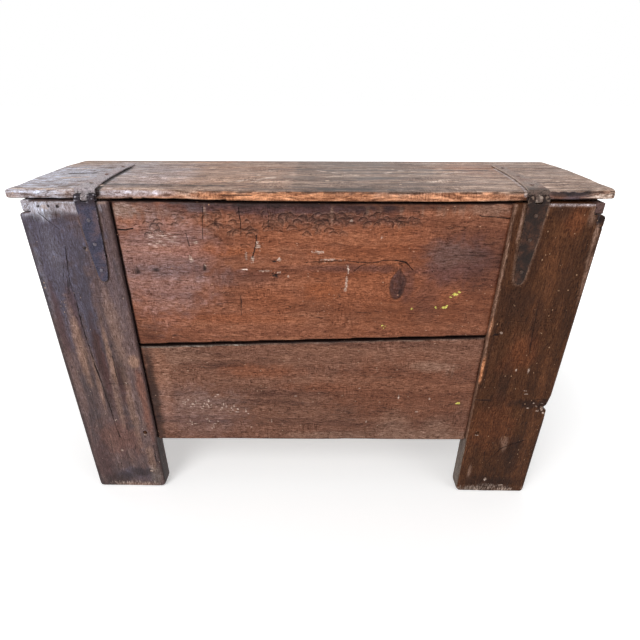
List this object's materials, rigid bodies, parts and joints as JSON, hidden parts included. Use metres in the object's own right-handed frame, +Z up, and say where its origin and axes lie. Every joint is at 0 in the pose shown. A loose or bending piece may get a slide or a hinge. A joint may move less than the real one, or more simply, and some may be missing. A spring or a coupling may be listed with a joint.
{
  "type": "marriage chest",
  "caption": "Long boarded oak chest on wide plank stiles that form the feet, with a shallow cambered lid on two iron strap hinges.",
  "frame": {"origin": "middle of the chest's footprint, on the plane of the feet's soles", "axes": "+X along the length, towards the right end as seen from the hinged back; +Y from the hinged back to the front; +Z up"},
  "size_m": [1.354, 0.4254, 0.92],
  "materials": {
    "stile": "dark waxed oak, cool grey-brown, long drying cracks",
    "long_board": "reddish brown oiled oak, adze marks and worn patches",
    "end_board": "brown oak, matt",
    "floor_plank": "dry unfinished oak",
    "lid_board": "grey-brown worn oak with paler streaks",
    "cleat": "paler pinkish oak end grain",
    "peg": "dark oak end grain",
    "strap": "hand-forged iron, dark satin patina with worn highlights",
    "pin": "dark iron, worn",
    "nail": "dark forged iron, rubbed bright on the domes"
  },
  "bodies": {
    "chest": {"board_back_lower": "long_board", "board_back_upper": "long_board", "board_front_lower": "long_board", "board_front_upper": "long_board", "end_left_lower": "end_board", "end_left_upper": "end_board", "end_right_lower": "end_board", "end_right_upper": "end_board", "floor_back": "floor_plank", "floor_front": "floor_plank", "floor_middle": "floor_plank", "hinge_pin_left": "pin", "hinge_pin_right": "pin", "nail_lower_left_1": "nail", "nail_lower_left_2": "nail", "nail_lower_left_3": "nail", "nail_lower_right_1": "nail", "nail_lower_right_2": "nail", "nail_lower_right_3": "nail", "peg_back_left": "peg", "peg_back_right": "peg", "peg_front_left": "peg", "peg_front_right": "peg", "stile_back_left": "stile", "stile_back_right": "stile", "stile_front_left": "stile", "stile_front_right": "stile", "strap_lower_left": "strap", "strap_lower_right": "strap"},
    "lid": {"lid_board_back": "lid_board", "lid_board_front": "lid_board", "lid_cleat_left": "cleat", "lid_cleat_right": "cleat", "nail_upper_left_1": "nail", "nail_upper_left_2": "nail", "nail_upper_left_3": "nail", "nail_upper_right_1": "nail", "nail_upper_right_2": "nail", "nail_upper_right_3": "nail", "strap_upper_left": "strap", "strap_upper_right": "strap"}
  },
  "joints": [
    {"name": "lid_hinge", "type": "hinge", "parent": "chest", "child": "lid", "pos_m": [0, -0.2024, 0.893], "axis": [1, 0, 0], "range_deg": [0, 105]}
  ]
}
